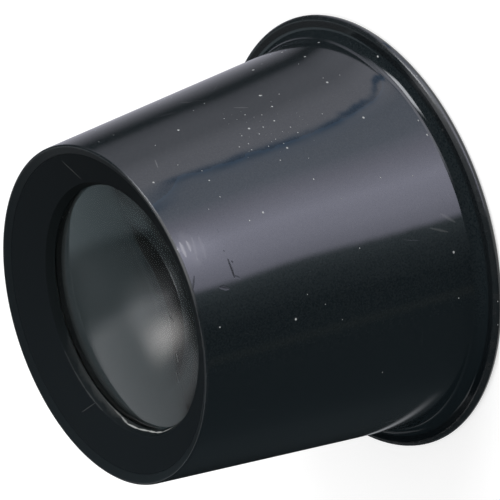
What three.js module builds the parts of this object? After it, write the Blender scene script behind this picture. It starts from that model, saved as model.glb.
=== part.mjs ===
// Watchmaker's eye loupe: a tapered eye cup that holds one lens behind a screwed-in ring.
// Millimetres, +Z up along the optical axis. The eye rim stands on z = 0 and the lens is at the top.

import * as THREE from 'three';
import { mergeVertices } from 'three/addons/utils/BufferGeometryUtils.js';

// Driving dimensions of the lens
const lensRadius = 11.4;
const lensCurvature = 52; // radius of both faces, for a focal length near 50 mm
const lensEdge = 1.6; // thickness at the edge
const lensDepth = 2.7; // nose to the lens's face at the throat

// Driving dimensions of the retaining ring
const throatLap = 1.15; // how far the ring reaches in over the lens's edge
const throatDraft = 0.4; // how much the throat opens towards the dished face
const dishAngle = 27.8 * THREE.MathUtils.DEG2RAD; // the dished face against flat
const headThickness = 0.8; // at the head's edge
const headOverhang = 0.65; // how far the head reaches out beyond the thread
const skirtWall = 0.8; // between the lens and the thread's root
const skirtRelief = 0.35; // foot of the skirt to the lens seat

// The thread between the ring's skirt and the eye cup
const threadPitch = 1;
const threadDepth = 0.4;
const threadRunout = 0.35; // plain stretch between the ring's thread and its head

// Driving dimensions of the eye cup
const height = 26.6;
const eyeRimRadius = 18.5;
const eyeRimThickness = 0.8;
const collarRadius = 16.68; // the taper's wide end, where it meets the eye rim
const noseLand = 0.75; // width of the cup's own mouth round the ring
const wall = 1.5;
const seatLap = 1.1; // how far the lens seat reaches in under the lens's edge
const seatThickness = 1.1;
const seatSlope = 0.6; // how much lower the seat's underside lies at the wall

// Fits and soft edges
const clearance = 0.1; // between pieces that screw, seat or slide
const lipRound = 0.39; // nearly half of the eye rim's thickness, so its edge is full round
const collarFillet = 0.35;
const eyeEdgeRound = 0.8; // inner edge of the eye rim, against the face
const noseRound = 0.15;
const edgeRound = 0.12;

// Smoothness
const segments = 64;
const arcSteps = 4;
const lensSteps = 7;
const rowsPerPitch = 8;

// Radii, worked out from the lens outwards
const throatRadius = lensRadius - throatLap;
const throatTopRadius = throatRadius + throatDraft;
const seatRadius = lensRadius - seatLap;
const pocketRadius = lensRadius + clearance;
const threadRoot = pocketRadius + skirtWall; // root radius of the ring's thread
const threadCrest = threadRoot + threadDepth;
const boreRoot = threadCrest + clearance; // root radius of the eye cup's thread
const ringRadius = threadCrest + headOverhang;
const headBore = ringRadius + clearance;
const noseRadius = headBore + noseLand; // the taper's narrow end

// Slopes and curves
const taper = ( collarRadius - noseRadius ) / ( height - eyeRimThickness );
const outsideRadius = ( z ) => noseRadius + ( height - z ) * taper;
const insideRadius = ( z ) => outsideRadius( z ) - wall * Math.hypot( 1, taper );
const dishHeight = ( radius ) => height - ( noseRadius - radius ) * Math.tan( dishAngle );
const sag = ( radius ) => lensCurvature - Math.sqrt( lensCurvature ** 2 - radius ** 2 );

// Heights, worked out from the nose downwards
const throatFoot = height - lensDepth + clearance;
const ledgeHeight = dishHeight( ringRadius ) - headThickness - clearance;
const lensEdgeTop = height - lensDepth - ( sag( lensRadius ) - sag( throatRadius ) );
const lensEdgeBottom = lensEdgeTop - lensEdge;
const seatHeight = lensEdgeBottom - ( sag( lensRadius ) - sag( seatRadius ) ) - clearance;
const seatUnderside = seatHeight - seatThickness;
const skirtFoot = seatHeight + skirtRelief;

// Closes an outline and rounds its corners. A corner is [ radius, height, rounding ]. The
// smallest roundings are one flat bevel.
function outline( corners ) {

	const points = [];

	corners.forEach( ( [ r, z, rounding = 0 ], i ) => {

		const corner = new THREE.Vector2( r, z );
		if ( rounding === 0 ) {

			points.push( corner );
			return;

		}

		const back = new THREE.Vector2( ...corners.at( i - 1 ) ).sub( corner );
		const ahead = new THREE.Vector2( ...corners[ ( i + 1 ) % corners.length ] ).sub( corner );
		const half = Math.acos( back.clone().normalize().dot( ahead.clone().normalize() ) ) / 2;
		const room = Math.min( back.length(), ahead.length() ) / 2;
		const reach = Math.min( rounding / Math.tan( half ), room );
		const arcRadius = reach * Math.tan( half );

		back.normalize();
		ahead.normalize();
		const middle = back.clone().add( ahead ).normalize().multiplyScalar( arcRadius / Math.sin( half ) );
		const centre = corner.clone().add( middle );
		const start = corner.clone().addScaledVector( back, reach ).sub( centre );
		const end = corner.clone().addScaledVector( ahead, reach ).sub( centre );
		const sweep = Math.atan2( start.cross( end ), start.dot( end ) );
		const steps = rounding > edgeRound ? arcSteps : 1;

		for ( let step = 0; step <= steps; step ++ ) {

			const turned = start.clone().rotateAround( new THREE.Vector2(), sweep * step / steps );
			points.push( turned.add( centre ) );

		}

	} );

	points.push( points[ 0 ].clone() );
	return points;

}

// Corners up a plain wall, close enough together to carry the thread
function threadedWall( radius, bottom, top ) {

	const rows = Math.round( ( top - bottom ) / threadPitch * rowsPerPitch );
	return Array.from( { length: rows + 1 }, ( _, row ) => [
		radius,
		THREE.MathUtils.lerp( bottom, top, row / rows ),
	] );

}

function revolve( points ) {

	const lathe = new THREE.LatheGeometry( points, segments ).rotateX( Math.PI / 2 );
	lathe.deleteAttribute( 'normal' );
	lathe.deleteAttribute( 'uv' );
	return mergeVertices( lathe, clearance / segments );

}

// Raises a round right-hand thread on the wall between two heights. It fades in and out over
// half a pitch. An outside thread grows outwards and an inside thread inwards, half a turn on,
// so the ridges of each lie in the grooves of the other.
function addThread( geometry, wallRadius, bottom, top, outside ) {

	const position = geometry.getAttribute( 'position' );
	const direction = outside ? 1 : - 1;
	const phase = outside ? 0 : Math.PI;
	const fade = threadPitch / 2;
	const tolerance = clearance / segments;

	for ( let i = 0; i < position.count; i ++ ) {

		const x = position.getX( i );
		const y = position.getY( i );
		const z = position.getZ( i );
		const radius = Math.hypot( x, y );
		if ( Math.abs( radius - wallRadius ) > tolerance || z < bottom || z > top ) continue;

		const strength = Math.min( 1, ( z - bottom ) / fade, ( top - z ) / fade );
		const turns = 2 * Math.PI * z / threadPitch - Math.atan2( y, x ) + phase;
		const ridge = threadDepth * strength * ( 1 + Math.cos( turns ) ) / 2;
		const scale = ( radius + direction * ridge ) / radius;
		position.setXY( i, x * scale, y * scale );

	}

	return geometry;

}

function finish( name, geometry, material ) {

	geometry.computeVertexNormals();
	const mesh = new THREE.Mesh( geometry, material );
	mesh.name = name;
	return mesh;

}

// The eye cup: a tapered shell with a thin out-turned eye rim, a lens seat and a threaded mouth
function housing() {

	const threadBottom = seatHeight + skirtRelief / 2;
	const threadTop = ledgeHeight - edgeRound;
	const corners = [
		[ insideRadius( 0 ), 0, eyeEdgeRound ],
		[ eyeRimRadius, 0, lipRound ],
		[ eyeRimRadius, eyeRimThickness, lipRound ],
		[ collarRadius, eyeRimThickness, collarFillet ],
		[ noseRadius, height, noseRound ],
		[ headBore, dishHeight( headBore ) ],
		[ headBore, ledgeHeight ],
		[ boreRoot + edgeRound, ledgeHeight ],
		...threadedWall( boreRoot, threadBottom, threadTop ).reverse(),
		[ boreRoot, seatHeight ],
		[ seatRadius, seatHeight, edgeRound ],
		[ seatRadius, seatUnderside, edgeRound ],
		[ insideRadius( seatUnderside - seatSlope ), seatUnderside - seatSlope, edgeRound ],
	];

	const geometry = addThread( revolve( outline( corners ) ), boreRoot, threadBottom, threadTop, false );
	return finish( 'housing', geometry, new THREE.MeshStandardMaterial( {
		color: 0x14171a, roughness: 0.22, metalness: 0,
	} ) );

}

// The retaining ring: a dished head, a throat over the lens and a skirt around it
function retainingRing() {

	const headUnderside = ledgeHeight + clearance;
	const threadBottom = skirtFoot + edgeRound;
	const threadTop = headUnderside - threadRunout;
	const corners = [
		[ pocketRadius, skirtFoot ],
		[ threadRoot - edgeRound, skirtFoot ],
		...threadedWall( threadRoot, threadBottom, threadTop ),
		[ threadRoot, headUnderside ],
		[ ringRadius, headUnderside ],
		[ ringRadius, dishHeight( ringRadius ) ],
		[ throatTopRadius, dishHeight( throatTopRadius ), edgeRound ],
		[ throatRadius, throatFoot ],
		[ pocketRadius, throatFoot ],
	];

	const geometry = addThread( revolve( outline( corners ) ), threadRoot, threadBottom, threadTop, true );
	return finish( 'retaining_ring', geometry, new THREE.MeshStandardMaterial( {
		color: 0x14181b, roughness: 0.3, metalness: 0,
	} ) );

}

// The lens: both faces curve alike, with a plain ground edge
function lens() {

	const face = ( edgeHeight, side ) => Array.from( { length: lensSteps + 1 }, ( _, step ) => {

		const radius = lensRadius * step / lensSteps;
		return new THREE.Vector2( radius, edgeHeight + side * ( sag( lensRadius ) - sag( radius ) ) );

	} );

	const points = [ ...face( lensEdgeBottom, - 1 ), ...face( lensEdgeTop, 1 ).reverse() ];
	return finish( 'lens', revolve( points ), new THREE.MeshStandardMaterial( {
		color: 0xdde6e4, roughness: 0.03, metalness: 0, transparent: true, opacity: 0.35,
	} ) );

}

const loupe = new THREE.Group();
loupe.add( housing(), retainingRing(), lens() );

export default loupe;
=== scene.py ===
import math

import bpy
from mathutils import Matrix, Vector, noise


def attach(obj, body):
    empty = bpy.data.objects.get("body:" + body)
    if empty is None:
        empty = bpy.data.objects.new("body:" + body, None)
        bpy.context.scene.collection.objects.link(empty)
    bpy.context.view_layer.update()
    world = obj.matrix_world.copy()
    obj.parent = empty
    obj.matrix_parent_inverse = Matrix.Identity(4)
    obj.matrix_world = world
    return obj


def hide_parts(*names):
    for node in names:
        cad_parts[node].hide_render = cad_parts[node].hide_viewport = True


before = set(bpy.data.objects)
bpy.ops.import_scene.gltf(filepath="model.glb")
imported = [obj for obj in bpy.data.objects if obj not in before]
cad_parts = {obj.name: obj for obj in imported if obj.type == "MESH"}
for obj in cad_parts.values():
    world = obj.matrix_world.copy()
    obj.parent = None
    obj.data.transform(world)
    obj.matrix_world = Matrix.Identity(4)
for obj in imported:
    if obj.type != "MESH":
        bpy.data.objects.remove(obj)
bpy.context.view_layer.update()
print("frame loaded")

mm = 0.001  # lengths below are in millimetres until they go into a mesh
fullTurn = 2 * math.pi


# Meshes

# Rounds the corners of a closed outline. A corner is (radius, height), or
# (radius, height, rounding, steps, wear). Points come back as (radius, height, wear), where wear
# is that of the rounded corner and 0 on a plain stretch.
def roundedOutline(corners):
    guard = 0.06  # wear ends this far beyond a rounding
    points = []
    for index, corner in enumerate(corners):
        place = Vector(corner[:2])
        if len(corner) == 2:
            points.append((place.x, place.y, 0.0))
            continue
        rounding, steps, wear = corner[2:]
        back = Vector(corners[index - 1][:2]) - place
        ahead = Vector(corners[(index + 1) % len(corners)][:2]) - place
        half = back.angle(ahead) / 2
        reach = min(rounding / math.tan(half), 0.499 * min(back.length, ahead.length))
        roomBack = back.length > 2 * (reach + guard)
        roomAhead = ahead.length > 2 * (reach + guard)
        radius = reach * math.tan(half)
        back.normalize()
        ahead.normalize()
        centre = place + (back + ahead).normalized() * (radius / math.sin(half))
        start = place + back * reach - centre
        end = place + ahead * reach - centre
        sweep = math.atan2(start.x * end.y - start.y * end.x, start.dot(end))
        if wear and roomBack:
            points.append((*(place + back * (reach + guard)), 0.0))
        for step in range(steps + 1):
            turned = Matrix.Rotation(sweep * step / steps, 2) @ start + centre
            points.append((turned.x, turned.y, wear))
        if wear and roomAhead:
            points.append((*(place + ahead * (reach + guard)), 0.0))
    return points


# Corners along a straight stretch, without its two ends
def between(start, end, count):
    return [tuple(Vector(start[:2]).lerp(Vector(end[:2]), step / count)) for step in range(1, count)]


# The values beside the place `at` in a table of (place, value, ...) rows
def readTable(table, at):
    for first, following in zip(table, table[1:]):
        if at <= following[0]:
            share = max(0, (at - first[0]) / (following[0] - first[0]))
            return [low + (high - low) * share for low, high in zip(first[1:], following[1:])]
    return list(table[-1][1:])


# Turns an outline round the optical axis. bend moves a point: (radius, height, angle) -> radius.
# zones gives a point its shares: (radius, height, angle) -> (matt, paintedShade, paintedHighlight).
def turned(name, points, segments, bend=None, zones=None):
    closed = points[0][0] > 0 and points[-1][0] > 0
    vertices, faces, rings = [], [], []
    layers = {"wear": [], "matt": [], "paintedShade": [], "paintedHighlight": []}
    for radius, height, wear in points:
        ring = []
        for segment in range(segments if radius > 0 else 1):
            angle = fullTurn * segment / segments
            out = bend(radius, height, angle) if bend else radius
            ring.append(len(vertices))
            vertices.append((out * math.cos(angle) * mm, out * math.sin(angle) * mm, height * mm))
            shares = zones(radius, height, angle) if zones else (0.0, 0.0, 0.0)
            for layer, value in zip(layers.values(), (wear, *shares)):
                layer.append(value)
        rings.append(ring)
    for index in range(len(rings) if closed else len(rings) - 1):
        here, ahead = rings[index], rings[(index + 1) % len(rings)]
        for segment in range(segments):
            a, b = segment, (segment + 1) % segments
            if len(here) == 1:
                faces.append((here[0], ahead[b], ahead[a]))
            elif len(ahead) == 1:
                faces.append((here[a], here[b], ahead[0]))
            else:
                faces.append((here[a], here[b], ahead[b], ahead[a]))
    mesh = bpy.data.meshes.new(name)
    mesh.from_pydata(vertices, [], faces)
    for layer, values in layers.items():
        mesh.attributes.new(layer, "FLOAT", "POINT").data.foreach_set("value", values)
    mesh.shade_smooth()
    mesh.set_sharp_from_angle(angle=math.radians(32))
    piece = bpy.data.objects.new(name, mesh)
    bpy.context.scene.collection.objects.link(piece)
    return piece


# Node groups that more than one material uses

def newGroup(name, inputs, outputs):
    group = bpy.data.node_groups.new(name, "ShaderNodeTree")
    for socketName, kind, value in inputs:
        socket = group.interface.new_socket(name=socketName, in_out="INPUT", socket_type=kind)
        if value is not None:
            socket.default_value = value
    for socketName, kind in outputs:
        group.interface.new_socket(name=socketName, in_out="OUTPUT", socket_type=kind)
    return group, group.nodes.new("NodeGroupInput"), group.nodes.new("NodeGroupOutput")


def addNode(tree, kind, settings=None, **inputs):
    node = tree.nodes.new(kind)
    for name, value in (settings or {}).items():
        setattr(node, name, value)
    for name, value in inputs.items():
        socket = node.inputs[int(name[1:]) if name[0] == "i" and name[1:].isdigit() else name]
        if isinstance(value, bpy.types.NodeSocket):
            tree.links.new(value, socket)
        else:
            socket.default_value = value
    return node


def maths(tree, operation, first, second=0.0, clamp=False):
    node = addNode(tree, "ShaderNodeMath", {"operation": operation, "use_clamp": clamp}, i0=first, i1=second)
    return node.outputs[0]


def vectorMaths(tree, operation, first, second):
    if operation == "SCALE":
        return addNode(tree, "ShaderNodeVectorMath", {"operation": operation}, i0=first, Scale=second).outputs[0]
    node = addNode(tree, "ShaderNodeVectorMath", {"operation": operation}, i0=first, i1=second)
    return node.outputs[1 if operation in ("DOT_PRODUCT", "DISTANCE") else 0]


def separate(tree, vector):
    return addNode(tree, "ShaderNodeSeparateXYZ", Vector=vector).outputs


# Peels the turned surface flat: millimetres round the axis, and millimetres along the outline
def unrollGroup():
    group, given, result = newGroup("unroll", [("Place", "NodeSocketVector", None)],
                                    [("Flat", "NodeSocketVector")])
    across, deep, high = separate(group, given.outputs["Place"])
    angle = maths(group, "ARCTAN2", deep, across)
    square = maths(group, "ADD", maths(group, "MULTIPLY", across, across), maths(group, "MULTIPLY", deep, deep))
    around = maths(group, "MULTIPLY", angle, 15.0)
    along = maths(group, "SUBTRACT", high, maths(group, "SQRT", square))
    flat = addNode(group, "ShaderNodeCombineXYZ", X=around, Y=along)
    group.links.new(flat.outputs[0], result.inputs["Flat"])
    return group


# Short fine scratches, one to a cell at most, each at its own angle
def scratchesGroup():
    group, given, result = newGroup(
        "scratches",
        [("Flat", "NodeSocketVector", None), ("Spacing", "NodeSocketFloat", 3.0),
         ("Length", "NodeSocketFloat", 1.5), ("Width", "NodeSocketFloat", 0.03),
         ("Share", "NodeSocketFloat", 0.4), ("Bend", "NodeSocketFloat", 0.3)],
        [("Mask", "NodeSocketFloat")])
    sway = addNode(group, "ShaderNodeTexNoise", {"noise_dimensions": "2D"},
                   Vector=given.outputs["Flat"], Scale=0.6, Detail=1.0)
    shift = vectorMaths(group, "SCALE", sway.outputs["Color"], given.outputs["Bend"])
    bent = vectorMaths(group, "ADD", given.outputs["Flat"], shift)
    cells = addNode(group, "ShaderNodeTexVoronoi", {"voronoi_dimensions": "2D"},
                    Vector=bent, Scale=maths(group, "DIVIDE", 1.0, given.outputs["Spacing"]))
    offset = vectorMaths(group, "SUBTRACT", bent, cells.outputs["Position"])
    chance = addNode(group, "ShaderNodeSeparateColor", Color=cells.outputs["Color"])
    angle = maths(group, "MULTIPLY", chance.outputs[0], fullTurn)
    aligned = addNode(group, "ShaderNodeVectorRotate", {"rotation_type": "Z_AXIS"}, Vector=offset, Angle=angle)
    lengthwise, sideways, flat = separate(group, aligned.outputs[0])
    thin = maths(group, "DIVIDE", maths(group, "ABSOLUTE", sideways), given.outputs["Width"])
    thin = maths(group, "SUBTRACT", 1.0, thin, clamp=True)
    ends = maths(group, "DIVIDE", maths(group, "ABSOLUTE", lengthwise), given.outputs["Length"])
    ends = maths(group, "SUBTRACT", 1.0, maths(group, "MULTIPLY", ends, 2.0), clamp=True)
    some = maths(group, "LESS_THAN", chance.outputs[1], given.outputs["Share"])
    mask = maths(group, "MULTIPLY", maths(group, "MULTIPLY", thin, maths(group, "POWER", ends, 0.4)), some)
    group.links.new(mask, result.inputs["Mask"])
    return group


# One scratch or smear between two places, thinner and broken towards its ends
def markGroup():
    group, given, result = newGroup(
        "mark",
        [("Place", "NodeSocketVector", None), ("Start", "NodeSocketVector", None),
         ("End", "NodeSocketVector", None), ("Width", "NodeSocketFloat", 0.05)],
        [("Mask", "NodeSocketFloat")])
    run = vectorMaths(group, "SUBTRACT", given.outputs["End"], given.outputs["Start"])
    offset = vectorMaths(group, "SUBTRACT", given.outputs["Place"], given.outputs["Start"])
    share = maths(group, "DIVIDE", vectorMaths(group, "DOT_PRODUCT", offset, run),
                  vectorMaths(group, "DOT_PRODUCT", run, run), clamp=True)
    nearest = vectorMaths(group, "SCALE", run, share)
    away = vectorMaths(group, "DISTANCE", offset, nearest)
    rough = addNode(group, "ShaderNodeTexNoise", Vector=given.outputs["Place"], Scale=5.0, Detail=3.0)
    width = maths(group, "MULTIPLY", given.outputs["Width"], maths(group, "ADD", rough.outputs[0], 0.5))
    middle = maths(group, "MULTIPLY", share, maths(group, "SUBTRACT", 1.0, share))
    width = maths(group, "MULTIPLY", width, maths(group, "ADD", maths(group, "MULTIPLY", middle, 2.4), 0.4))
    mask = maths(group, "SUBTRACT", 1.0, maths(group, "DIVIDE", away, width), clamp=True)
    group.links.new(mask, result.inputs["Mask"])
    return group


# The edge of a dried film on a wall: a line whose angle round the axis follows a curve of the
# height, crisp on one side and fading out on the other
tideLine = [
    (0, -46), (1.6, -46.9), (2.6, -51), (3.4, -52.6), (4.2, -53.7), (6.1, -55), (8.3, -56), (10.6, -56.4),
    (13, -56.4), (15.2, -56), (16.2, -54.8), (17.5, -56.1), (19.6, -54.9), (20.8, -55.2), (22.7, -53.7),
    (23.5, -55.5), (24.6, -58), (26.5, -62),
]


def tideGroup():
    group, given, result = newGroup("tide", [("Place", "NodeSocketVector", None),
                                             ("Width", "NodeSocketFloat", 0.3),
                                             ("Fade", "NodeSocketFloat", 1.4)],
                                    [("Line", "NodeSocketFloat"), ("Film", "NodeSocketFloat")])
    across, deep, high = separate(group, given.outputs["Place"])
    curve = addNode(group, "ShaderNodeFloatCurve", Value=maths(group, "DIVIDE", high, 30.0))
    points = curve.mapping.curves[0].points
    for height, degrees in tideLine[1:-1]:
        points.new(height / 30, degrees / -90)
    points[0].location = (0, tideLine[0][1] / -90)
    points[-1].location = (1, tideLine[-1][1] / -90)
    curve.mapping.update()
    lineAngle = maths(group, "MULTIPLY", curve.outputs[0], math.radians(-90))
    angle = maths(group, "ARCTAN2", deep, across)
    below = maths(group, "MULTIPLY", maths(group, "SUBTRACT", lineAngle, angle), 15.5)
    ragged = addNode(group, "ShaderNodeTexNoise", Vector=given.outputs["Place"], Scale=2.2, Detail=4.0)
    raggedness = maths(group, "SUBTRACT", ragged.outputs[0], 0.5)
    below = maths(group, "ADD", below, maths(group, "MULTIPLY", raggedness, 0.5))
    onWall = maths(group, "MULTIPLY", maths(group, "SUBTRACT", high, 1.2), 2.0, clamp=True)
    started = maths(group, "MULTIPLY", maths(group, "ADD", below, 0.06), 12.0, clamp=True)
    started = maths(group, "MULTIPLY", started, onWall)
    line = maths(group, "SUBTRACT", 1.0, maths(group, "DIVIDE", below, given.outputs["Width"]), clamp=True)
    line = maths(group, "MULTIPLY", maths(group, "POWER", line, 0.6), started)
    line = maths(group, "MULTIPLY", line, maths(group, "ADD", raggedness, 0.8), clamp=True)
    film = maths(group, "SUBTRACT", 1.0, maths(group, "DIVIDE", below, given.outputs["Fade"]), clamp=True)
    film = maths(group, "MULTIPLY", film, started)
    group.links.new(line, result.inputs["Line"])
    group.links.new(film, result.inputs["Film"])
    return group


# Dust: specks of their own size, one to a cell at most
def dustGroup():
    group, given, result = newGroup(
        "dust",
        [("Flat", "NodeSocketVector", None), ("Spacing", "NodeSocketFloat", 2.0),
         ("Size", "NodeSocketFloat", 0.05), ("Share", "NodeSocketFloat", 0.3)],
        [("Mask", "NodeSocketFloat")])
    density = maths(group, "DIVIDE", 1.0, given.outputs["Spacing"])
    cells = addNode(group, "ShaderNodeTexVoronoi", {"voronoi_dimensions": "2D"},
                    Vector=given.outputs["Flat"], Scale=density)
    chance = addNode(group, "ShaderNodeSeparateColor", Color=cells.outputs["Color"])
    spread = maths(group, "ADD", maths(group, "POWER", chance.outputs[0], 3.0), 0.5)
    size = maths(group, "MULTIPLY", maths(group, "MULTIPLY", given.outputs["Size"], density), spread)
    filled = maths(group, "SUBTRACT", 1.0, maths(group, "DIVIDE", cells.outputs["Distance"], size), clamp=True)
    some = maths(group, "LESS_THAN", chance.outputs[1], given.outputs["Share"])
    mask = maths(group, "MULTIPLY", maths(group, "POWER", filled, 0.5), some)
    group.links.new(mask, result.inputs["Mask"])
    return group


# Fine unevenness of a moulded skin: a height for the bump and a tone for the roughness
def skinGroup():
    group, given, result = newGroup(
        "skin",
        [("Place", "NodeSocketVector", None), ("Grain", "NodeSocketFloat", 0.12),
         ("Ripple", "NodeSocketFloat", 3.0)],
        [("Height", "NodeSocketFloat"), ("Tone", "NodeSocketFloat")])
    fine = addNode(group, "ShaderNodeTexNoise", Vector=given.outputs["Place"],
                   Scale=maths(group, "DIVIDE", 1.0, given.outputs["Grain"]), Detail=2.0)
    broad = addNode(group, "ShaderNodeTexNoise", Vector=given.outputs["Place"],
                    Scale=maths(group, "DIVIDE", 1.0, given.outputs["Ripple"]), Detail=3.0)
    group.links.new(fine.outputs[0], result.inputs["Height"])
    group.links.new(broad.outputs[0], result.inputs["Tone"])
    return group


# Wear on rounded edges, in patches
def wearGroup():
    group, given, result = newGroup(
        "edgeWear",
        [("Place", "NodeSocketVector", None), ("Edge", "NodeSocketFloat", 0.0),
         ("Patch", "NodeSocketFloat", 0.8), ("Share", "NodeSocketFloat", 0.5)],
        [("Mask", "NodeSocketFloat")])
    patches = addNode(group, "ShaderNodeTexNoise", Vector=given.outputs["Place"],
                      Scale=maths(group, "DIVIDE", 1.0, given.outputs["Patch"]), Detail=3.0, Roughness=0.6)
    raised = maths(group, "SUBTRACT", patches.outputs[0], 0.5)
    soft = maths(group, "ADD", maths(group, "MULTIPLY", raised, 2.0), given.outputs["Share"], clamp=True)
    group.links.new(maths(group, "MULTIPLY", soft, given.outputs["Edge"]), result.inputs["Mask"])
    return group


groups = {build.__name__.removesuffix("Group"): build()
          for build in (unrollGroup, scratchesGroup, markGroup, tideGroup, dustGroup, skinGroup, wearGroup)}
print("node groups built")


def useGroup(tree, name, **inputs):
    return addNode(tree, "ShaderNodeGroup", {"node_tree": groups[name]}, **inputs)


# Place on the object in millimetres, and the same surface peeled flat
def placeNodes(tree):
    coordinates = addNode(tree, "ShaderNodeTexCoord")
    place = vectorMaths(tree, "SCALE", coordinates.outputs["Object"], 1 / mm)
    return place, useGroup(tree, "unroll", Place=place).outputs["Flat"]


def mixColour(tree, factor, first, second):
    node = addNode(tree, "ShaderNodeMix", {"data_type": "RGBA"}, Factor=factor, i6=first, i7=second)
    return node.outputs[2]


def mixValue(tree, factor, first, second):
    return addNode(tree, "ShaderNodeMix", Factor=factor, i2=first, i3=second).outputs[0]


def attribute(tree, name):
    return addNode(tree, "ShaderNodeAttribute", {"attribute_name": name}).outputs["Fac"]


# The single marks of a list (start, end, width, strength), joined in one mask
def markMask(tree, place, marks):
    mask = None
    for start, end, width, strength in marks:
        mark = useGroup(tree, "mark", Place=place, Start=start, End=end, Width=width).outputs["Mask"]
        mark = maths(tree, "MULTIPLY", mark, strength)
        mask = maths(tree, "MAXIMUM", mask, mark) if mask else mark
    return mask


def newMaterial(name):
    material = bpy.data.materials.new(name)
    material.use_nodes = True
    tree = material.node_tree
    tree.nodes.clear()
    return material, tree, tree.nodes.new("ShaderNodeOutputMaterial")


def plasticMaterial(name, look):
    material, tree, output = newMaterial(name)
    place, flat = placeNodes(tree)
    skin = useGroup(tree, "skin", Place=place, Grain=look["grain"], Ripple=look["ripple"])
    scratches = useGroup(tree, "scratches", Flat=flat, Spacing=look["scratchSpacing"],
                         Length=look["scratchLength"], Width=look["scratchWidth"],
                         Share=look["scratchShare"]).outputs["Mask"]
    wear = useGroup(tree, "wear", Place=place, Edge=attribute(tree, "wear"), Patch=look["wearPatch"],
                    Share=look["wearShare"]).outputs["Mask"]
    # light joins the light marks (scuffs and scratches) with the painted highlight on the nose and rim edges
    light = maths(tree, "MAXIMUM", markMask(tree, place, look["lightMarks"]), attribute(tree, "paintedHighlight"))
    dark = markMask(tree, place, look["darkMarks"])
    matt = attribute(tree, "matt")

    # more dust lies on the side that was up
    upward = vectorMaths(tree, "DOT_PRODUCT", place, look["dustSide"])
    settled = maths(tree, "ADD", maths(tree, "MULTIPLY", upward, 0.07), 0.1, clamp=True)
    near = vectorMaths(tree, "DISTANCE", place, look["dustHeap"])
    heap = maths(tree, "SUBTRACT", 1.0, maths(tree, "MULTIPLY", near, 0.2), clamp=True)
    share = maths(tree, "ADD", maths(tree, "MULTIPLY", settled, look["dustShare"]), heap)
    share = maths(tree, "MULTIPLY", share, maths(tree, "SUBTRACT", 1.0, matt))
    dust = useGroup(tree, "dust", Flat=flat, Spacing=look["dustSpacing"], Size=look["dustSize"],
                    Share=share).outputs["Mask"]
    fineShare = maths(tree, "MULTIPLY", heap, 0.4)
    fineDust = useGroup(tree, "dust", Flat=flat, Spacing=look["dustSpacing"] / 3,
                        Size=look["dustSize"] / 2, Share=fineShare).outputs["Mask"]
    dust = maths(tree, "MAXIMUM", dust, fineDust)
    tide = useGroup(tree, "tide", Place=place)
    tideLineMask = maths(tree, "MULTIPLY", tide.outputs["Line"], look["tide"])
    tideFilm = maths(tree, "MULTIPLY", tide.outputs["Film"], look["tide"])

    film = maths(tree, "SUBTRACT", maths(tree, "MULTIPLY", skin.outputs["Height"], 2.4), 0.8, clamp=True)
    film = maths(tree, "MULTIPLY", maths(tree, "MULTIPLY", film, settled), look["film"])
    # painted shade: the flat top of the eye rim is coloured darker, as the shade it lies in
    colour = mixColour(tree, attribute(tree, "paintedShade"), look["colour"], look["paintedShadeColour"])
    colour = mixColour(tree, film, colour, look["dustColour"])
    colour = mixColour(tree, tideFilm, colour, look["tideFilmColour"])
    colour = mixColour(tree, tideLineMask, colour, look["tideLineColour"])
    colour = mixColour(tree, wear, colour, look["wornColour"])
    colour = mixColour(tree, scratches, colour, look["scratchColour"])
    # light marks and the painted highlight on the edges share one light colour
    colour = mixColour(tree, light, colour, look["markAndHighlightColour"])
    colour = mixColour(tree, dark, colour, look["darkMarkColour"])
    colour = mixColour(tree, dust, colour, look["dustColour"])
    tone = maths(tree, "MULTIPLY", maths(tree, "SUBTRACT", skin.outputs["Tone"], 0.5), look["roughnessSpread"])
    roughness = maths(tree, "ADD", tone, look["roughness"], clamp=True)
    roughness = mixValue(tree, matt, roughness, look["mattRoughness"])
    roughness = mixValue(tree, tideFilm, roughness, look["tideFilmRoughness"])
    roughness = mixValue(tree, tideLineMask, roughness, look["tideLineRoughness"])
    for mask in (wear, scratches, light):
        roughness = mixValue(tree, mask, roughness, look["wornRoughness"])
    roughness = mixValue(tree, maths(tree, "MAXIMUM", dark, dust), roughness, 0.9)

    height = maths(tree, "MULTIPLY", skin.outputs["Height"], look["grainDepth"])
    for mask, depth in ((scratches, "scratchDepth"), (light, "scratchDepth"), (dark, "gougeDepth")):
        height = maths(tree, "SUBTRACT", height, maths(tree, "MULTIPLY", mask, look[depth]))
    height = maths(tree, "ADD", height, maths(tree, "MULTIPLY", dust, look["dustHeight"]))
    bump = addNode(tree, "ShaderNodeBump", Height=height, Distance=mm, Strength=1.0)
    shader = addNode(tree, "ShaderNodeBsdfPrincipled", IOR=1.5, Roughness=roughness, Normal=bump.outputs[0],
                     **{"Specular IOR Level": look["specular"]})
    tree.links.new(colour, shader.inputs["Base Color"])
    tree.links.new(shader.outputs[0], output.inputs["Surface"])
    return material
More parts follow.
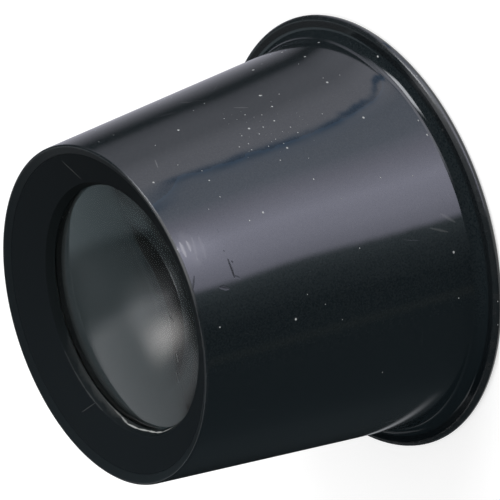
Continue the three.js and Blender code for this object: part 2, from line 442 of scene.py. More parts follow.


# Flat black of the faces inside, with a little dust that has fallen in, and a painted highlight along any given marks
def flatMaterial(name, look, marks=()):
    material, tree, output = newMaterial(name)
    place, flat = placeNodes(tree)
    skin = useGroup(tree, "skin", Place=place, Grain=look["grain"], Ripple=look["ripple"])
    dust = useGroup(tree, "dust", Flat=flat, Spacing=2.5, Size=0.06, Share=look["dustShare"]).outputs["Mask"]
    scratches = useGroup(tree, "scratches", Flat=flat, Spacing=5.0, Length=4.0, Width=0.05,
                         Share=0.3).outputs["Mask"]
    colour = mixColour(tree, skin.outputs["Tone"], look["dark"], look["light"])
    colour = mixColour(tree, maths(tree, "MULTIPLY", dust, 0.3), colour, look["dustColour"])
    roughness = mixValue(tree, scratches, look["roughness"], look["scratchRoughness"])
    # painted highlight along the given marks
    if marks:
        light = markMask(tree, place, marks)
        colour = mixColour(tree, light, colour, look["paintedGlintColour"])
        roughness = mixValue(tree, light, roughness, look["scratchRoughness"])
    height = maths(tree, "MULTIPLY", skin.outputs["Height"], look["grainDepth"])
    bump = addNode(tree, "ShaderNodeBump", Height=height, Distance=mm, Strength=1.0)
    shader = addNode(tree, "ShaderNodeBsdfPrincipled", IOR=1.5, Roughness=roughness, Normal=bump.outputs[0],
                     **{"Specular IOR Level": 0.1})
    tree.links.new(colour, shader.inputs["Base Color"])
    tree.links.new(shader.outputs[0], output.inputs["Surface"])
    return material


# The eye cup: tapered shell, out-turned eye rim, lens seat and threaded mouth

thread = {
    "pitch": 1.0,
    "depth": 0.4,
    "fade": 0.5,  # length over which a ridge starts and ends
    "rowsPerPitch": 14,
}

eyeCup = {
    "height": 26.6,
    "rimRadius": 18.5,
    "rimThickness": 0.8,
    "lipRound": 0.39,
    "eyeEdgeRound": 0.8,
    "collarRadius": 16.68,
    "collarFillet": 1.1,
    "noseRadius": 14.2,
    "noseRound": 0.15,
    "wall": 1.5,
    "dishAngle": 27.8,
    "headBore": 13.405,
    "ledgeHeight": 25.25,
    "boreRoot": 12.8,
    "seatRadius": 10.3,
    "seatHeight": 21.721,
    "seatUnderside": 20.621,
    "seatSlope": 0.6,
    "edgeRound": 0.12,
    "segments": 288,
    # where the edges carry a painted highlight on their lit side: (angle round the axis in degrees, strength)
    "nosePaintedHighlight": [(-98, 0.0), (-89, 0.2), (-81, 0.3), (-73, 0.26), (-65, 0.2), (-57, 0.16), (-46, 0.03), (-38, 0.0)],
    "rimPaintedHighlight": [(-98, 0.0), (-84, 0.04), (-76, 0.07), (-66, 0.13), (-58, 0.13), (-50, 0.0)],
    "look": {
        "colour": (0.0080, 0.0124, 0.0150, 1),
        # painted shade of the eye rim's flat top
        "paintedShadeColour": (0.0045, 0.0065, 0.0080, 1),
        "wornColour": (0.018, 0.021, 0.023, 1),
        "scratchColour": (0.018, 0.022, 0.025, 1),
        # colour of the scuffs and of the painted highlight on the edges
        "markAndHighlightColour": (0.42, 0.42, 0.43, 1),
        "darkMarkColour": (0.003, 0.004, 0.005, 1),
        "tideFilmColour": (0.012, 0.020, 0.027, 1),
        "tideLineColour": (0.014, 0.027, 0.040, 1),
        "dustColour": (0.6, 0.62, 0.62, 1),
        "specular": 0.5,
        "roughness": 0.10,
        "roughnessSpread": 0.05,
        "wornRoughness": 0.35,
        "mattRoughness": 0.4,
        "tideFilmRoughness": 0.14,
        "tideLineRoughness": 0.12,
        "grain": 0.16,
        "grainDepth": 0.0005,
        "ripple": 4.0,
        "scratchSpacing": 3.5,
        "scratchLength": 2.2,
        "scratchWidth": 0.02,
        "scratchShare": 0.25,
        "scratchDepth": 0.003,
        "gougeDepth": 0.012,
        "lightMarks": [
            ((3.31, -13.83, 26.38), (2.89, -13.92, 26.40), 0.22, 0.4),
            ((3.59, -13.80, 25.97), (2.42, -14.05, 25.98), 0.24, 0.6),
            ((3.56, -13.87, 25.39), (2.72, -14.06, 25.40), 0.22, 0.5),
            ((3.66, -13.89, 24.84), (1.89, -14.21, 25.18), 0.22, 0.16),
            ((3.57, -13.97, 24.27), (1.82, -14.29, 24.41), 0.26, 0.09),
            ((4.05, -13.72, 25.53), (1.72, -14.23, 25.19), 1.3, 0.06),
            ((10.46, -10.05, 23.44), (9.77, -10.67, 23.79), 0.08, 0.2),
            ((-0.66, -16.43, 3.31), (-1.62, -16.46, 2.28), 0.18, 0.12),
            ((-1.45, -16.25, 4.63), (-2.20, -16.31, 3.13), 0.14, 0.12),
            ((12.62, -8.84, 14.05), (12.27, -9.45, 13.18), 0.10, 0.15),
            ((14.39, -4.89, 16.19), (14.16, -5.63, 15.84), 0.10, 0.15),
        ],
        "darkMarks": [
            ((1.19, -14.53, 22.67), (-0.33, -14.58, 22.64), 0.15, 1.0),
            ((0.98, -14.57, 22.42), (0.80, -14.58, 22.37), 0.10, 1.0),
            ((1.95, -14.43, 22.75), (1.85, -14.44, 22.72), 0.08, 0.9),
            ((0.73, -14.25, 25.94), (-0.33, -14.20, 26.45), 0.15, 0.7),
            ((-0.68, -14.43, 24.09), (-1.00, -14.47, 23.41), 0.22, 0.8),
            ((-0.20, -14.58, 22.60), (-0.60, -14.55, 22.10), 0.12, 0.5),
            ((3.80, -14.10, 22.45), (3.46, -14.18, 22.48), 0.08, 0.5),
        ],
        "dustSide": (0.64, -0.77, 0.0),
        "dustHeap": (10.3, -11.6, 13.2),
        "dustSpacing": 1.5,
        "dustSize": 0.09,
        "dustShare": 0.14,
        "dustHeight": 0.02,
        "film": 0.02,
        "tide": 1.0,
        "wearPatch": 0.9,
        "wearShare": 0.5,
    },
    # The inside is coloured several times lighter than the outer plastic: its matt finish, and painted light for the
    # light that reaches in through the eye opening
    "insideLook": {
        "dark": (0.044, 0.062, 0.066, 1),
        "light": (0.058, 0.082, 0.086, 1),
        "dustColour": (0.5, 0.52, 0.52, 1),
        "roughness": 0.7,
        "scratchRoughness": 0.4,
        "grain": 0.3,
        "grainDepth": 0.001,
        "ripple": 4.0,
        "dustShare": 0.15,
    },
    # The seat, and the ring's pocket, are coloured lighter too: painted light for the light that falls between the
    # lens edge and the seat
    "seatLook": {
        "dark": (0.042, 0.054, 0.055, 1),
        "light": (0.052, 0.066, 0.067, 1),
        "dustColour": (0.3, 0.32, 0.32, 1),
        "roughness": 0.6,
        "scratchRoughness": 0.4,
        "grain": 0.3,
        "grainDepth": 0.001,
        "ripple": 4.0,
        "dustShare": 0.1,
    },
}

ring = {
    "radius": 13.38,
    "headUnderside": 25.35,
    "throatRadius": 10.25,
    "throatTopRadius": 10.65,
    "throatFoot": 24.0,
    "throatRound": 0.12,
    "pocketRadius": 11.5,
    "threadRoot": 12.3,
    "threadRunout": 0.35,
    "skirtFoot": 22.07,
    "segments": 288,
    "look": {
        "colour": (0.0075, 0.0106, 0.0126, 1),
        "paintedShadeColour": (0.0062, 0.0085, 0.0100, 1),
        "wornColour": (0.020, 0.024, 0.026, 1),
        "scratchColour": (0.03, 0.036, 0.038, 1),
        "markAndHighlightColour": (0.55, 0.56, 0.55, 1),
        "darkMarkColour": (0.004, 0.005, 0.006, 1),
        "tideFilmColour": (0.012, 0.020, 0.027, 1),
        "tideLineColour": (0.014, 0.027, 0.040, 1),
        "dustColour": (0.5, 0.52, 0.52, 1),
        "specular": 0.1,
        "roughness": 0.6,
        "roughnessSpread": 0.06,
        "wornRoughness": 0.6,
        "mattRoughness": 0.6,
        "tideFilmRoughness": 0.2,
        "tideLineRoughness": 0.5,
        "grain": 0.16,
        "grainDepth": 0.0005,
        "ripple": 4.0,
        "scratchSpacing": 4.0,
        "scratchLength": 2.6,
        "scratchWidth": 0.02,
        "scratchShare": 0.2,
        "scratchDepth": 0.003,
        "gougeDepth": 0.01,
        # the first two are scratches on the dish; the last, along the throat's top edge, is a painted highlight
        "lightMarks": [
            ((12.85, -0.47, 25.89), (11.00, -0.82, 24.93), 0.05, 0.18),
            ((-7.01, 9.69, 25.42), (-6.63, 8.39, 24.75), 0.05, 0.12),
            ((-2.92, 10.17, 24.69), (-6.55, 8.38, 24.72), 0.04, 0.06),
        ],
        "darkMarks": [
            ((0.5, 12.4, 25.7), (-1.4, 12.9, 25.9), 0.04, 0.5),
        ],
        "dustSide": (0.64, -0.77, 0.0),
        "dustHeap": (0, 0, 60),  # far off: no heap on the ring
        "dustSpacing": 1.8,
        "dustSize": 0.06,
        "dustShare": 0.03,
        "dustHeight": 0.02,
        "film": 0.0,
        "tide": 0.0,
        "wearPatch": 0.8,
        "wearShare": 0.4,
    },
    "throatLook": {
        "dark": (0.0065, 0.0095, 0.0105, 1),
        "light": (0.0085, 0.0122, 0.0134, 1),
        "dustColour": (0.3, 0.32, 0.32, 1),
        # colour of the painted glint and highlight on the throat wall
        "paintedGlintColour": (0.60, 0.61, 0.60, 1),
        "roughness": 0.6,
        "scratchRoughness": 0.4,
        "grain": 0.3,
        "grainDepth": 0.001,
        "ripple": 4.0,
        "dustShare": 0.1,
    },
}

# Painted highlights along the throat's edge and wall: angle round the axis in degrees, height, strength
throatEdgeHighlight = [(100, 24.72, 0.04), (110, 24.72, 0.07), (120, 24.72, 0.08), (128, 24.72, 0.05), (134, 24.72, 0.0)]
throatGlint = [
    (94, 24.12, 0.03), (106, 24.1, 0.06), (120, 24.07, 0.1), (132, 24.05, 0.15), (138, 24.06, 0.3),
    (144, 24.12, 0.6), (150, 24.3, 1.0), (158, 24.27, 1.0), (166, 24.2, 1.0), (172, 24.28, 1.0),
    (178, 24.33, 0.6), (186, 24.2, 0.15), (192, 24.1, 0.0),
]
throatSoftHighlight = [
    (96, 24.15, 0.02), (108, 24.15, 0.04), (120, 24.15, 0.05), (132, 24.15, 0.05), (144, 24.15, 0.03),
    (156, 24.15, 0.02), (176, 24.15, 0.0),
]

lens = {
    "radius": 11.4,
    "curvature": 52.0,
    "edgeBottom": 22.056,
    "edgeTop": 23.656,
    "bevel": 0.15,
    "steps": 28,
    "segments": 192,
    "groundDark": (0.27, 0.26, 0.235, 1),
    "groundLight": (0.38, 0.37, 0.335, 1),
    "marks": [
        ((-1.39, -6.46, 24.50), (-2.12, -6.71, 24.44), 0.07, 1.0),
        ((-6.09, -4.59, 24.36), (-7.00, -4.35, 24.26), 0.06, 0.8),
        ((-4.56, -5.63, 24.41), (-5.37, -5.37, 24.36), 0.05, 0.7),
        ((4.25, -5.70, 24.43), (2.91, -6.20, 24.47), 0.05, 0.3),
    ],
}

taper = (eyeCup["collarRadius"] - eyeCup["noseRadius"]) / (eyeCup["height"] - eyeCup["rimThickness"])


def outsideRadius(height):
    return eyeCup["noseRadius"] + (eyeCup["height"] - height) * taper


def insideRadius(height):
    return outsideRadius(height) - eyeCup["wall"] * math.hypot(1, taper)


def dishHeight(radius):
    return eyeCup["height"] - (eyeCup["noseRadius"] - radius) * math.tan(math.radians(eyeCup["dishAngle"]))


# A bend for turned() that raises a round right-hand thread on the wall of one radius
def threadBend(wallRadius, bottom, top, outward):
    direction = 1 if outward else -1
    phase = 0 if outward else math.pi

    def bend(radius, height, angle):
        if abs(radius - wallRadius) > 0.001 or not bottom <= height <= top:
            return radius
        strength = min(1, (height - bottom) / thread["fade"], (top - height) / thread["fade"])
        turns = fullTurn * height / thread["pitch"] - angle + phase
        return radius + direction * thread["depth"] * strength * (1 + math.cos(turns)) / 2

    return bend


def threadRows(radius, bottom, top):
    rows = round((top - bottom) / thread["pitch"] * thread["rowsPerPitch"])
    return [(radius, bottom + (top - bottom) * row / rows) for row in range(rows + 1)]


# Which of the cup's materials a face has: 0 outside, 1 inside, 2 at the lens seat
def cupFace(radius, height):
    middle = outsideRadius(height) - eyeCup["wall"] / 2
    if radius > middle or not 0.5 < height < eyeCup["seatHeight"] + 0.01:
        return 0
    return 1 if height < eyeCup["seatUnderside"] - 0.05 else 2


# Which of the ring's materials a face has: 0 outside, 1 in its throat, 2 round the lens
def ringFace(radius, height):
    if radius < ring["pocketRadius"] + 0.01 and height < ring["throatFoot"] + 0.01:
        return 2
    return int(radius < ring["throatTopRadius"] - 0.05)


# The flat top of the eye rim is duller and darker than the wall by painted shade, the mouth is matt, and the two
# outer edges carry a painted highlight on one side
def cupZones(radius, height, angle):
    paintedShade = eyeCup["collarRadius"] + 0.9 < radius < eyeCup["rimRadius"] - 0.38 and 0.5 < height < 1.2
    mouth = radius < eyeCup["noseRadius"] - 0.1 and height > eyeCup["ledgeHeight"] + 0.1
    degrees = math.degrees(math.remainder(angle, fullTurn))
    paintedHighlight = 0.0
    if radius > eyeCup["noseRadius"] - 0.18 and height > eyeCup["height"] - 0.18:
        paintedHighlight = readTable(eyeCup["nosePaintedHighlight"], degrees)[0]
    elif radius > eyeCup["rimRadius"] - 0.4 and height > eyeCup["rimThickness"] / 2:
        paintedHighlight = readTable(eyeCup["rimPaintedHighlight"], degrees)[0]
    return float(mouth), float(paintedShade), paintedHighlight


# Marks end to end along an edge, whose radius follows from the height; they carry painted highlights
def lineMarks(line, radiusAt, width):
    places = []
    for degrees, height, strength in line:
        angle = math.radians(degrees)
        places.append((radiusAt(height) * math.cos(angle), radiusAt(height) * math.sin(angle), height))
    return [(start, end, width, point[2]) for start, end, point in zip(places, places[1:], line)]


# Gives a piece its materials, and every face the one that its place calls for
def dress(piece, materials, choose):
    for material in materials:
        piece.data.materials.append(material)
    for face in piece.data.polygons:
        face.material_index = choose(face.center.xy.length / mm, face.center.z / mm)


def buildEyeCup():
    size = eyeCup
    bottom = size["seatHeight"] + 0.175
    top = size["ledgeHeight"] - size["edgeRound"]
    mouth = (size["headBore"], dishHeight(size["headBore"]))
    seatFoot = size["seatUnderside"] - size["seatSlope"]
    wallTop = (insideRadius(seatFoot), seatFoot, size["edgeRound"], 3, 0)
    eyeEdge = (insideRadius(0), 0, size["eyeEdgeRound"], 10, 0.5)
    collar = (size["collarRadius"], size["rimThickness"], size["collarFillet"], 16, 0)
    nose = (size["noseRadius"], size["height"], size["noseRound"], 5, 0.4)
    corners = [
        eyeEdge,
        (size["rimRadius"], 0, size["lipRound"], 8, 1.0),
        (size["rimRadius"], size["rimThickness"], size["lipRound"], 8, 1.0),
        collar,
        *between((outsideRadius(3.2), 3.2), (outsideRadius(26), 26), 24),
        nose,
        mouth,
        (size["headBore"], size["ledgeHeight"]),
        (size["boreRoot"] + size["edgeRound"], size["ledgeHeight"]),
        *reversed(threadRows(size["boreRoot"], bottom, top)),
        (size["boreRoot"], size["seatHeight"]),
        (size["seatRadius"], size["seatHeight"], size["edgeRound"], 3, 0),
        (size["seatRadius"], size["seatUnderside"], size["edgeRound"], 3, 0),
        wallTop,
        *between((insideRadius(19.5), 19.5), (insideRadius(1.5), 1.5), 18),
    ]
    bend = threadBend(size["boreRoot"], bottom, top, False)
    piece = turned("eyeCup", roundedOutline(corners), size["segments"], bend, cupZones)
    plastic = plasticMaterial("cupPlastic", size["look"])
    inside = flatMaterial("cupInside", size["insideLook"])
    seat = flatMaterial("cupSeat", size["seatLook"])
    dress(piece, (plastic, inside, seat), cupFace)
    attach(piece, "eye_cup")
    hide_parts("housing")
    return piece


def throatRadius(height):
    draft = ring["throatTopRadius"] - ring["throatRadius"]
    depth = dishHeight(ring["throatTopRadius"]) - ring["throatFoot"]
    return ring["throatRadius"] + draft * (height - ring["throatFoot"]) / depth


def buildRing():
    size = ring
    bottom = size["skirtFoot"] + 0.12
    top = size["headUnderside"] - size["threadRunout"]
    face = dishHeight(size["radius"])
    throat = (size["throatTopRadius"], dishHeight(size["throatTopRadius"]), size["throatRound"], 4, 0.3)
    corners = [
        (size["pocketRadius"], size["skirtFoot"]),
        (size["threadRoot"] - 0.12, size["skirtFoot"]),
        *threadRows(size["threadRoot"], bottom, top),
        (size["threadRoot"], size["headUnderside"]),
        (size["radius"], size["headUnderside"]),
        (size["radius"], face),
        *between((size["radius"], face), throat, 6),
        throat,
        (size["throatRadius"], size["throatFoot"]),
        (size["pocketRadius"], size["throatFoot"]),
    ]
    bend = threadBend(size["threadRoot"], bottom, top, True)
    piece = turned("retainingRing", roundedOutline(corners), size["segments"], bend)
    # painted highlights: the throat's top edge among the light marks, the throat wall a glint with a softer highlight
    # below it
    look = {**size["look"], "lightMarks": size["look"]["lightMarks"] + lineMarks(throatEdgeHighlight, throatRadius, 0.12)}
    glint = lineMarks(throatGlint, throatRadius, 0.12) + lineMarks(throatSoftHighlight, throatRadius, 0.5)
    throatBlack = flatMaterial("ringThroat", size["throatLook"], glint)
    pocket = flatMaterial("ringPocket", eyeCup["seatLook"])
    dress(piece, (plasticMaterial("ringPlastic", look), throatBlack, pocket), ringFace)
    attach(piece, "ring")
    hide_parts("retaining_ring")
    return piece


def glassMaterial():
    material, tree, output = newMaterial("lensGlass")
    place, flat = placeNodes(tree)
    scratches = useGroup(tree, "scratches", Flat=place, Spacing=4.0, Length=2.0, Width=0.012,
                         Share=0.3).outputs["Mask"]
    dust = useGroup(tree, "dust", Flat=place, Spacing=1.8, Size=0.04, Share=0.1).outputs["Mask"]
    marks = markMask(tree, place, lens["marks"])
    dirt = maths(tree, "MAXIMUM", maths(tree, "MAXIMUM", maths(tree, "MULTIPLY", scratches, 0.5), dust), marks)
    roughness = mixValue(tree, dirt, 0.02, 0.5)
    shader = addNode(tree, "ShaderNodeBsdfPrincipled", IOR=1.52, Roughness=roughness,
                     **{"Transmission Weight": 0.996, "Base Color": (0.93, 0.98, 0.97, 1)})
    tree.links.new(shader.outputs[0], output.inputs["Surface"])
    return material


# The ground edge of the lens
def groundMaterial():
    material, tree, output = newMaterial("lensEdge")
    place, flat = placeNodes(tree)
    skin = useGroup(tree, "skin", Place=place, Grain=0.1, Ripple=2.0)
    colour = mixColour(tree, skin.outputs["Tone"], lens["groundDark"], lens["groundLight"])
    bump = addNode(tree, "ShaderNodeBump", Height=maths(tree, "MULTIPLY", skin.outputs["Height"], 0.01),
                   Distance=mm, Strength=1.0)
    shader = addNode(tree, "ShaderNodeBsdfPrincipled", IOR=1.52, Roughness=0.6, Normal=bump.outputs[0],
                     **{"Base Color": colour})
    tree.links.new(shader.outputs[0], output.inputs["Surface"])
    return material


def lensFace(radius, height):
    return int(radius > lens["radius"] - lens["bevel"])


def buildLens():
    size = lens
    sagEdge = size["curvature"] - math.sqrt(size["curvature"] ** 2 - size["radius"] ** 2)

    def rise(radius):
        return sagEdge - (size["curvature"] - math.sqrt(size["curvature"] ** 2 - radius ** 2))

    rim = size["radius"] - size["bevel"]
    radii = [rim * step / size["steps"] for step in range(size["steps"] + 1)]
    below = [(r, size["edgeBottom"] - rise(r), 0.0) for r in radii]
    above = [(r, size["edgeTop"] + rise(r), 0.0) for r in reversed(radii)]
    ground = [(size["radius"], size["edgeBottom"] + size["bevel"], 1.0),
              (size["radius"], size["edgeTop"] - size["bevel"], 1.0)]
    piece = turned("lensGlass", below + ground + above, size["segments"])
    dress(piece, (glassMaterial(), groundMaterial()), lensFace)
    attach(piece, "lens")
    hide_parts("lens")
    return piece


buildEyeCup()
buildRing()
buildLens()
print("pieces built")


# Studio: white floor, soft lamps, and cards that only reflections see

studio = {
    "floorSize": 6000.0,
    "floorColour": (0.6, 0.6, 0.6, 1),
    "floorLift": 0.55,  # added for camera, mirror and glass rays, so that the open floor is white
    "worldFill": 0.82,
    "skyRadius": 330.0,
    "glassSkyRadius": 300.0,  # nearer, so that rays through glass meet it first
    "skyRows": 72,
    "eyeLight": 1.3,
    "angleStep": 0.5,
    "reachSteps": [2.0 * 1.04 ** step for step in range(132)],
}

tints = {
    "plain": (0.98, 1.0, 1.05),
    "mauve": (1.0, 1.0, 1.14),
    "violet": (1.01, 1.0, 1.24),
    "blue": (0.92, 1.0, 1.22),
    "teal": (0.85, 1.0, 1.08),
    "warm": (1.04, 1.0, 0.96),
    "yellow": (1.05, 1.0, 0.7),
}

# What the floor card shows in the cup's wall, by the angle of the wall that mirrors it:
# (degrees, brightness, tint)
wallLights = [
    (-180, 0.03, "teal"), (-172, 0.01, "teal"), (-160, 0.04, "teal"), (-150, 0.06, "teal"),
    (-138, 0.04, "teal"), (-106, 0.0, "plain"), (-98, 0.16, "teal"), (-93.2, 0.42, "teal"),
    (-91.4, 2.3, "violet"), (-86, 3.2, "violet"), (-79, 3.8, "violet"), (-71, 2.3, "violet"),
    (-66, 1.6, "blue"), (-58, 1.35, "blue"), (-53, 1.6, "mauve"), (-47, 1.3, "mauve"), (-41, 0.75, "mauve"),
    (-35, 0.58, "mauve"), (-29, 0.3, "mauve"), (-25.5, 0.03, "mauve"), (-22.5, 0.02, "mauve"),
    (-18, 0.2, "mauve"), (-12, 0.4, "mauve"), (-4, 0.5, "mauve"), (5, 0.3, "mauve"), (40, 0.1, "plain"),
    (90, 0.05, "plain"), (140, 0.05, "plain"), (180, 0.05, "plain"),
]

# How the edge of the light band and the dark gap at the top wander with the reach of the mirror
# ray: (reach, degrees at the band, degrees at the gap)
wander = [
    (2, -1.7, 9.5), (3.5, -1.7, 4.5), (5, -1.7, 3.2), (9, -1.7, 0.8), (17, -1.2, 0.0), (25, -0.6, -0.8),
    (32, 0.0, 0.0), (43, 0.4, 0.0), (50, 0.2, 0.0), (56, -0.2, 0.0), (66, 0.4, 0.0), (400, 0.4, 0.0),
]

# The dark line that the wall mirrors along the edge of its dried film: (reach, degrees)
darkLine = [(height * 2.35, degrees - 0.4) for height, degrees in tideLine]


def readLight(lights, at):
    for (here, low, firstTint), (there, high, nextTint) in zip(lights, lights[1:]):
        if at <= there:
            share = (at - here) / (there - here)
            return (Vector(tints[firstTint]) * low).lerp(Vector(tints[nextTint]) * high, share)
    return Vector(tints[lights[-1][2]]) * lights[-1][1]


def bump(offset, halfWidth):
    return max(0, 1 - (offset / halfWidth) ** 2) ** 2


def waver(place, size):
    return noise.noise(Vector((place / size, 3.7, size)))


# Light of the floor card where a mirror ray from one angle of the wall meets it
def floorLight(degrees, reach):
    bandWander, gapWander = readTable(wander, reach)
    bandWander += 0.25 * waver(reach, 2.5)
    nearGap = max(0, min(1, (degrees + 75) / 35))
    light = readLight(wallLights, degrees - bandWander * (1 - nearGap) - gapWander * nearGap)

    offset = degrees - readTable(darkLine, reach)[0] - 0.9 * waver(reach, 2) - 1.2 * waver(reach, 0.7)
    core = min(1, 1.5 * bump(offset, 2.0) * (0.75 + 0.7 * waver(reach, 5))) * min(1, reach / 3)
    haze = math.exp(offset / 2) if offset < 0 else 0
    light -= light * 0.12 * haze
    light -= Vector((light.x * 0.78, light.y * 0.66, light.z * 0.5)) * core

    streak = bump(degrees + 115.5 + 1.5 * waver(reach, 40), 2.2)
    light += Vector(tints["yellow"]) * 0.055 * streak
    if degrees < -150:
        rimLine = 8.3 - 0.16 * (degrees + 170)
        light += Vector(tints["plain"]) * 0.5 * bump(reach - rimLine, 1.3) * min(1, (-150 - degrees) / 12)
    noseShare = max(0, min(1, (reach - 54) / 6))
    return light * (1 + 0.3 * bump(degrees + 78.5, 9) * noseShare)


# A card is seen by the named kinds of ray only
def showTo(card, kinds):
    for kind in ("camera", "diffuse", "glossy", "transmission", "shadow", "volume_scatter"):
        setattr(card, "visible_" + kind, kind in kinds)


def glowMaterial(name):
    material, tree, output = newMaterial(name)
    glow = addNode(tree, "ShaderNodeAttribute", {"attribute_name": "glow"})
    light = addNode(tree, "ShaderNodeEmission", Strength=1.0)
    tree.links.new(glow.outputs["Color"], light.inputs["Color"])
    tree.links.new(light.outputs[0], output.inputs["Surface"])
    material.cycles.emission_sampling = "NONE"
    return material


cardLight = glowMaterial("cardLight")


# A card from rows of points, all of one length, each point a (place, colour) pair
def cardMesh(name, rows, kinds=("glossy", "transmission")):
    width = len(rows[0])
    vertices = [tuple(Vector(place) * mm) for row in rows for place, colour in row]
    faces = [(r * width + c, r * width + c + 1, (r + 1) * width + c + 1, (r + 1) * width + c)
             for r in range(len(rows) - 1) for c in range(width - 1)]
    mesh = bpy.data.meshes.new(name)
    mesh.from_pydata(vertices, [], faces)
    glow = mesh.color_attributes.new("glow", "FLOAT_COLOR", "POINT")
    glow.data.foreach_set("color", [v for row in rows for place, colour in row for v in (*colour, 1.0)])
    mesh.materials.append(cardLight)
    card = bpy.data.objects.new(name, mesh)
    bpy.context.scene.collection.objects.link(card)
    showTo(card, kinds)
    return card


# The floor card fans out from the cup. A mirror ray that leaves the wall at one angle from
# the photograph's side meets it along one straight line.
def buildFloorCard():
    rows = []
    for step in range(round(360 / studio["angleStep"]) + 1):
        degrees = -180 + studio["angleStep"] * step
        angle = math.radians(degrees)
        start = Vector((math.cos(angle), math.sin(angle), 0)) * 16.7
        bearing = 2 * angle + math.pi / 2 if degrees <= 0 else math.pi / 2
        direction = Vector((math.cos(bearing), math.sin(bearing), 0))
        row = []
        for reach in studio["reachSteps"]:
            place = start + direction * reach
            place.z = 0.4
            row.append((place, floorLight(degrees, reach)))
        rows.append(row)
    return cardMesh("floorCard", rows)


# Soft panels of the sky card: azimuth from +Y towards +X, elevation, half their width and height,
# all in degrees, then brightness, tint, the share of them over which they fade, and how far a
# panel leans sideways on its way up
skyLights = [
    (-9.8, 33.2, 10.7, 19.3, 0.6, "plain", 0.27, 0.08),
    (-4.5, 42, 7, 11, 0.6, "plain", 0.8, 0),
    (-7.2, 43.5, 5, 10, 2.5, "warm", 1.0, 0),
    (1.0, 43, 5.5, 14, 0.42, "plain", 1.0, 0.15),
    (4, 33, 7, 20, 0.12, "plain", 0.6, 0.15),
    (16.6, 31, 8.4, 19, 0.36, "teal", 0.3, 0.22),
    (-26, 15, 5.5, 6.5, 0.25, "plain", 0.4, 0),
    (111, 30, 18, 14, 9.0, "plain", 0.5, 0),
    (128, 4, 48, 16, 2.6, "mauve", 0.6, 0),
]

# What glass rays see there instead
glassLights = []


def skyLight(panels, azimuth, elevation):
    light = Vector((0, 0, 0))
    for sideways, above, halfWidth, halfHeight, brightness, tint, softness, lean in panels:
        fade = 1
        middle = sideways + lean * (elevation - above)
        for share in (abs(azimuth - middle) / halfWidth, abs(elevation - above) / halfHeight):
            step = max(0, min(1, (1 - share) / softness))
            fade *= step * step * (3 - 2 * step)
        light += Vector(tints[tint]) * (brightness * fade)
    return light


# A dark half ball over the loupe, with the soft panels on it
def buildSkyCard(name, panels, kind, radius):
    rows = []
    for row in range(studio["skyRows"] + 1):
        elevation = 90 * row / studio["skyRows"]
        line = []
        for column in range(4 * studio["skyRows"] + 1):
            azimuth = -180 + 90 * column / studio["skyRows"]
            level = Vector((math.sin(math.radians(azimuth)), math.cos(math.radians(azimuth)), 0))
            place = level * math.cos(math.radians(elevation)) + Vector((0, 0, math.sin(math.radians(elevation))))
            light = skyLight(panels, azimuth, elevation)
            line.append((place * radius + Vector((0, 0, 20)), light))
        rows.append(line)
    for place, colour in rows[0]:
        place.z = 0
    return cardMesh(name, rows, (kind,))


# White paper under the eye opening: it lights the cup's inside
def buildEyeCard():
    rows = [[(Vector((math.cos(fullTurn * s / 48) * r, math.sin(fullTurn * s / 48) * r, 0.2)),
              Vector(tints["plain"]) * studio["eyeLight"]) for s in range(49)] for r in (0.1, 8, 16)]
    card = cardMesh("eyeCard", rows)
    card.visible_diffuse = True
    return card


# A black flag that keeps the sky's light off the lower part of the eye rim
def buildFlag():
    corners = [[(Vector((x, 30, z)), Vector((0, 0, 0))) for x in (-30, -12)] for z in (13, 29)]
    return cardMesh("rimFlag", corners)


buildFloorCard()
buildSkyCard("skyCard", skyLights, "glossy", studio["skyRadius"])
buildSkyCard("glassSkyCard", glassLights, "transmission", studio["glassSkyRadius"])
buildEyeCard()
buildFlag()
print("cards built")


def lightPathShare(tree):
    path = addNode(tree, "ShaderNodeLightPath")
    share = maths(tree, "ADD", path.outputs["Is Camera Ray"], path.outputs["Is Glossy Ray"])
    return maths(tree, "ADD", share, path.outputs["Is Transmission Ray"], clamp=True)


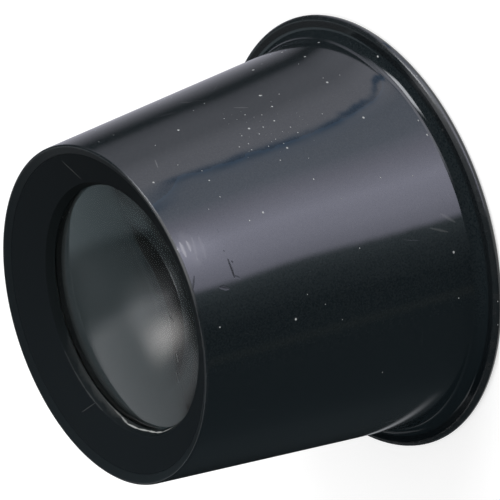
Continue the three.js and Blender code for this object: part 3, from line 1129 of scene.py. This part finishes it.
def buildFloor():
    half = studio["floorSize"] / 2 * mm
    mesh = bpy.data.meshes.new("floor")
    mesh.from_pydata([(-half, -half, 0), (half, -half, 0), (half, half, 0), (-half, half, 0)], [], [(0, 1, 2, 3)])
    floor = bpy.data.objects.new("floor", mesh)
    bpy.context.scene.collection.objects.link(floor)
    material, tree, output = newMaterial("floorPaper")
    matt = addNode(tree, "ShaderNodeBsdfDiffuse", Color=studio["floorColour"])
    lift = maths(tree, "MULTIPLY", lightPathShare(tree), studio["floorLift"])
    glow = addNode(tree, "ShaderNodeEmission", Strength=lift)
    both = addNode(tree, "ShaderNodeAddShader")
    tree.links.new(matt.outputs[0], both.inputs[0])
    tree.links.new(glow.outputs[0], both.inputs[1])
    tree.links.new(both.outputs[0], output.inputs["Surface"])
    material.cycles.emission_sampling = "NONE"
    mesh.materials.append(material)


def buildWorld():
    world = bpy.data.worlds.new("studio")
    world.use_nodes = True
    tree = world.node_tree
    tree.nodes.clear()
    output = tree.nodes.new("ShaderNodeOutputWorld")
    share = lightPathShare(tree)
    strength = mixValue(tree, share, studio["worldFill"], 1.0)
    background = addNode(tree, "ShaderNodeBackground", Strength=strength)
    background.inputs["Color"].default_value = (1, 1, 1, 1)
    tree.links.new(background.outputs[0], output.inputs["Surface"])
    bpy.context.scene.world = world


def addLamp(name, place, size, power):
    light = bpy.data.lights.new(name, "AREA")
    light.shape = "DISK"
    light.size = size * mm
    light.energy = power
    lamp = bpy.data.objects.new(name, light)
    lamp.location = Vector(place) * mm
    lamp.rotation_euler = Vector(place).to_track_quat("Z", "Y").to_euler()
    for kind in ("camera", "glossy", "transmission"):
        setattr(lamp, "visible_" + kind, False)
    bpy.context.scene.collection.objects.link(lamp)


buildFloor()
buildWorld()
addLamp("keyLamp", (380, -160, 420), 300, 1.1)
print("studio built")


# Camera: the photograph's side of the loupe, rolled so that the lens end lies low on the left
camera = {
    "towardsCamera": (0, -0.84325, 0.53752),
    "right": (-0.31014, -0.51101, -0.80169),
    "aim": (0, 0, 13.52),
    "offset": (1.4615, 1.8971, 450.4),
    "lens": 396.88,
}


def buildCamera():
    back = Vector(camera["towardsCamera"]).normalized()
    right = Vector(camera["right"])
    right = (right - back * right.dot(back)).normalized()
    up = back.cross(right)
    data = bpy.data.cameras.new("camera")
    data.lens = camera["lens"]
    data.sensor_width = 36
    data.clip_start = 0.01
    data.clip_end = 20
    viewer = bpy.data.objects.new("camera", data)
    aside, above, away = camera["offset"]
    place = (Vector(camera["aim"]) + right * aside + up * above + back * away) * mm
    turn = Matrix((right, up, back)).transposed().to_4x4()
    viewer.matrix_world = Matrix.Translation(place) @ turn
    bpy.context.scene.collection.objects.link(viewer)
    bpy.context.scene.camera = viewer


buildCamera()
bpy.context.scene.view_settings.view_transform = "Standard"
print("camera placed")
